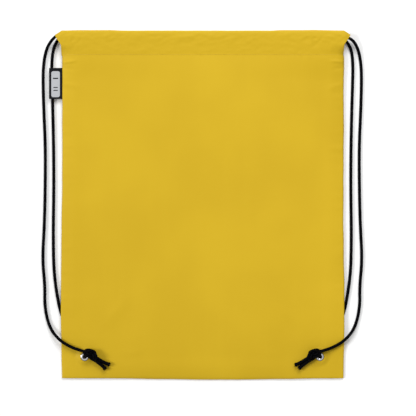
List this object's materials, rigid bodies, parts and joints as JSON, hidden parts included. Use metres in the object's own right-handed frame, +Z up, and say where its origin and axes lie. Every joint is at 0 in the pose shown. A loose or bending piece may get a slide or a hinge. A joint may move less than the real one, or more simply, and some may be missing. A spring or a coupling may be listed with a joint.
{
  "type": "drawstring backpack",
  "caption": "Flat drawstring backpack of thin cloth, with a cord through a casing at the mouth that comes down each side to a knot at a metal corner eyelet.",
  "frame": {"origin": "middle of the bag's outline on the surface that it lies on, front face up", "axes": "+Z up out of the front of the bag, +Y towards the mouth, +X to the bag's right as its front is looked at"},
  "size_m": [0.3898, 0.42, 0.0189],
  "materials": {
    "cloth": "satin",
    "cord": "matte",
    "thread": "satin",
    "label": "satin",
    "eyelet_metal": "polished"
  },
  "bodies": {
    "bag": {"front_panel": "cloth", "back_panel": "cloth", "front_casing": "cloth", "back_casing": "cloth", "bottom_seam": "cloth", "left_side_seam": "cloth", "right_side_seam": "cloth", "left_corner_patch": "cloth", "right_corner_patch": "cloth", "front_hem_thread": "thread", "back_hem_thread": "thread", "left_seam_thread": "thread", "right_seam_thread": "thread", "left_eyelet": "eyelet_metal", "left_eyelet_washer": "eyelet_metal", "left_outer_strand": "cord", "left_inner_strand": "cord", "left_knot": "cord", "left_cord_tails": "cord", "right_eyelet": "eyelet_metal", "right_eyelet_washer": "eyelet_metal", "right_outer_strand": "cord", "right_inner_strand": "cord", "right_knot": "cord", "right_cord_tails": "cord"},
    "label": {"side_label": "label"},
    "left_drawcord": {"left_cord_run": "cord"},
    "right_drawcord": {"right_cord_run": "cord"}
  },
  "joints": [
    {"name": "label_turn_up", "type": "hinge", "parent": "bag", "child": "label", "pos_m": [-0.1705, 0.14625, 0.0061], "axis": [0, 1, 0], "range_deg": [0, 105]},
    {"name": "left_drawcord_pull", "type": "slide", "parent": "bag", "child": "left_drawcord", "axis": [-1, 0, 0], "range_m": [0, 0.012], "deforming": ["left_outer_strand", "left_inner_strand"]},
    {"name": "right_drawcord_pull", "type": "slide", "parent": "bag", "child": "right_drawcord", "axis": [1, 0, 0], "range_m": [0, 0.012], "deforming": ["right_outer_strand", "right_inner_strand"]}
  ]
}
